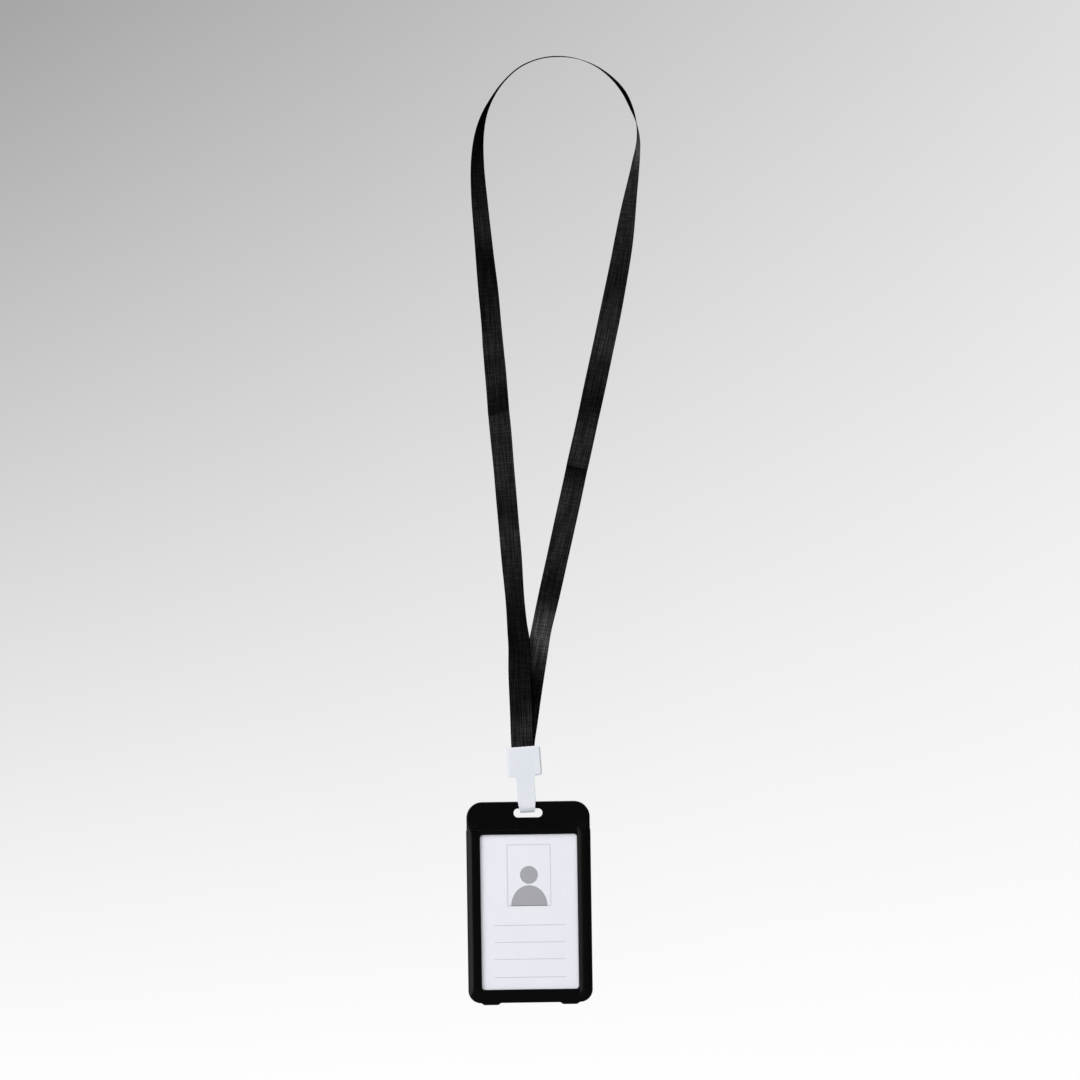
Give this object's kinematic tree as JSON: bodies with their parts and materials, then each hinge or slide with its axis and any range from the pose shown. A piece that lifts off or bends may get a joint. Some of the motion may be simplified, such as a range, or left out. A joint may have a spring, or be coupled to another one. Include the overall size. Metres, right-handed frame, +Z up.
{
  "type": "lanyard badge holder",
  "caption": "Ribbon neck lanyard with a plastic clip whose snap tongue holds a slide-open hard card case with a clear window and an insert card.",
  "frame": {"origin": "underside of the neck ribbon at the top of its loop, where it hangs on a neck", "axes": "+Z up along the hanging loop, -Y towards the card's printed side, +X to the right seen from the front"},
  "size_m": [0.0925, 0.011, 0.4755],
  "materials": {
    "ribbon": "woven matt",
    "clip_plastic": "satin white",
    "case_plastic": "satin black",
    "clear_film": "clear",
    "card_stock": "matt print"
  },
  "bodies": {
    "lanyard": {"strap": "ribbon", "clip_front_shell": "clip_plastic", "clip_rear_shell": "clip_plastic"},
    "flap": {"tongue_flap": "clip_plastic"},
    "case": {"case_tray": "case_plastic", "rear_window": "clear_film", "id_card": "card_stock"},
    "cover": {"front_cover": "case_plastic", "front_window": "clear_film"}
  },
  "joints": [
    {"name": "case_swing", "type": "hinge", "parent": "lanyard", "child": "case", "pos_m": [-0.0203, 0, -0.37485], "axis": [1, 0, 0], "range_deg": [-120, 60]},
    {"name": "tongue_open", "type": "hinge", "parent": "lanyard", "child": "flap", "pos_m": [-0.02075, 0.0039, -0.3747], "axis": [-0.9982, 0, -0.0602], "range_deg": [0, 100]},
    {"name": "cover_slide", "type": "slide", "parent": "case", "child": "cover", "axis": [0, 0, -1], "range_m": [0, 0.08]}
  ]
}
